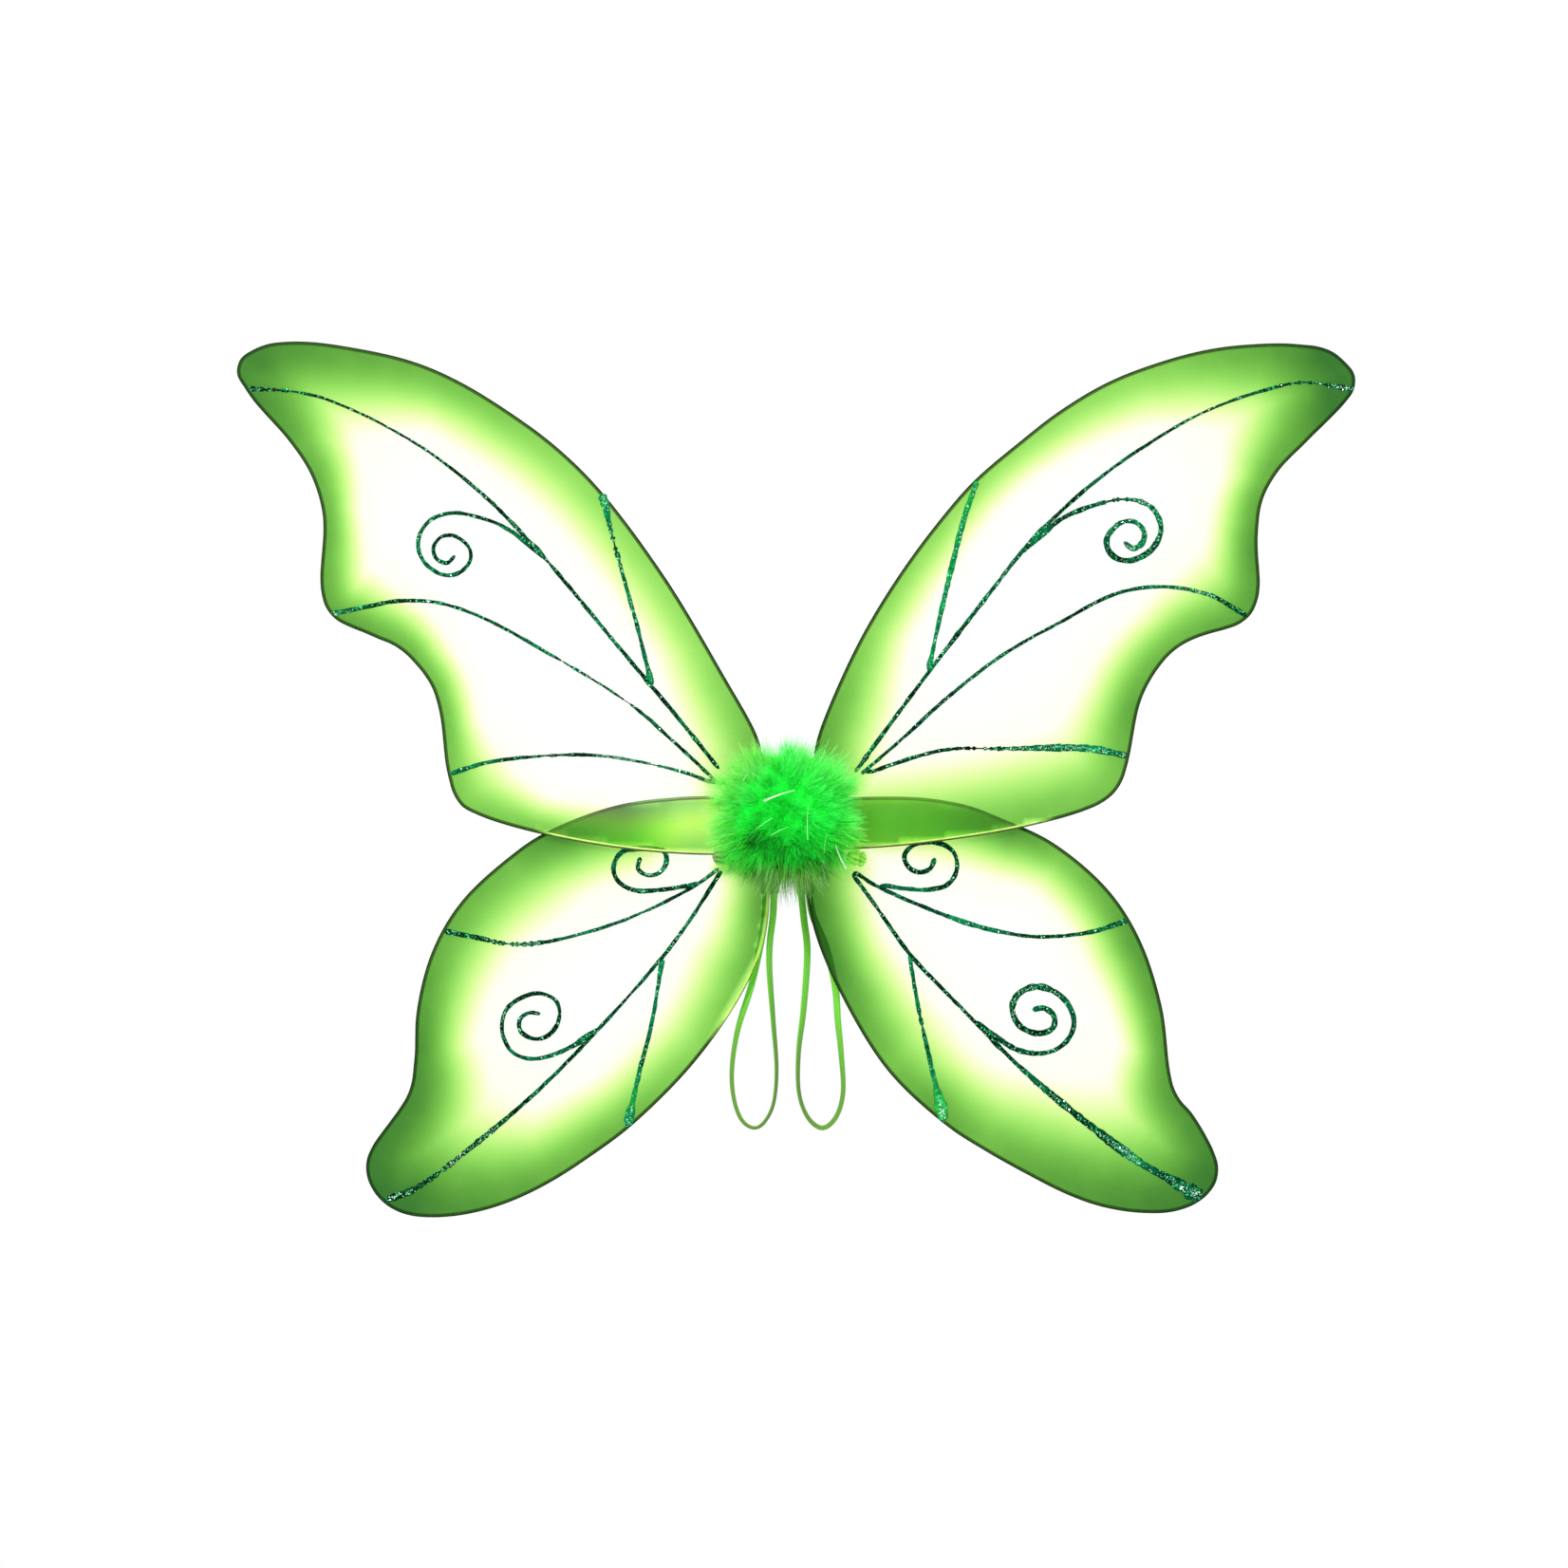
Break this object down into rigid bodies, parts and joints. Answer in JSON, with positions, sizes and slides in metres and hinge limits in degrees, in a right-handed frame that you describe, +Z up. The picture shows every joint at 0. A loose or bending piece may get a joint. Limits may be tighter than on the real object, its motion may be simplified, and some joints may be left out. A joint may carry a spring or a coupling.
{
  "type": "fairy wings",
  "caption": "Butterfly-style costume wings: airbrushed nylon on wire loops with glitter veins, a feather pouf over the hub and elastic shoulder loops.",
  "frame": {"origin": "centre of the back pad's flat rear face, which lies against the wearer's back", "axes": "+Z up as worn, +Y towards the wearer, +X to the right of someone looking at the wearer's back"},
  "size_m": [0.6584, 0.07, 0.5164],
  "materials": {
    "wire": "dark green enamelled steel wire, satin",
    "nylon": "sheer nylon, airbrushed dark green at the rim, through lime, to clear",
    "glitter": "dried glitter glue, dark green with bright specks",
    "marabou": "dyed marabou down, bright green",
    "elastic": "braided lime green elastic",
    "tape": "wrapped cloth tape",
    "felt": "green felt over foam, stitched rim",
    "board": "stiff grey plastic board"
  },
  "bodies": {
    "hub": {"centre_binding": "tape", "hub_plate": "board", "back_pad": "felt", "pouf_core": "felt", "marabou_pouf": "marabou", "left_strap_tab": "felt", "right_strap_tab": "felt", "left_strap": "elastic", "right_strap": "elastic"},
    "left_upper_wing": {"left_upper_wire": "wire", "left_upper_nylon": "nylon", "left_upper_main_vein": "glitter", "left_upper_curl": "glitter", "left_upper_brace": "glitter", "left_upper_middle_vein": "glitter", "left_upper_lower_vein": "glitter", "left_upper_knot": "nylon"},
    "left_lower_wing": {"left_lower_wire": "wire", "left_lower_nylon": "nylon", "left_lower_main_vein": "glitter", "left_lower_curl": "glitter", "left_lower_brace": "glitter", "left_lower_side_vein": "glitter", "left_lower_small_curl": "glitter"},
    "right_upper_wing": {"right_upper_wire": "wire", "right_upper_nylon": "nylon", "right_upper_main_vein": "glitter", "right_upper_curl": "glitter", "right_upper_brace": "glitter", "right_upper_middle_vein": "glitter", "right_upper_lower_vein": "glitter", "right_upper_knot": "nylon"},
    "right_lower_wing": {"right_lower_wire": "wire", "right_lower_nylon": "nylon", "right_lower_main_vein": "glitter", "right_lower_curl": "glitter", "right_lower_brace": "glitter", "right_lower_side_vein": "glitter", "right_lower_small_curl": "glitter"}
  },
  "joints": [
    {"name": "left_upper_sweep", "type": "hinge", "parent": "hub", "child": "left_upper_wing", "pos_m": [-0.014, -0.0115, 0], "axis": [0, 0, 1], "range_deg": [0, 35]},
    {"name": "left_lower_sweep", "type": "hinge", "parent": "hub", "child": "left_lower_wing", "pos_m": [-0.014, -0.0115, 0], "axis": [0, 0, 1], "range_deg": [0, 35]},
    {"name": "right_upper_sweep", "type": "hinge", "parent": "hub", "child": "right_upper_wing", "pos_m": [0.014, -0.0115, 0], "axis": [0, 0, -1], "range_deg": [0, 35]},
    {"name": "right_lower_sweep", "type": "hinge", "parent": "hub", "child": "right_lower_wing", "pos_m": [0.014, -0.0115, 0], "axis": [0, 0, -1], "range_deg": [0, 35]}
  ],
  "couplings": [
    {"joint": "left_lower_sweep", "follows": "left_upper_sweep", "ratio": 1},
    {"joint": "right_lower_sweep", "follows": "right_upper_sweep", "ratio": 1}
  ]
}
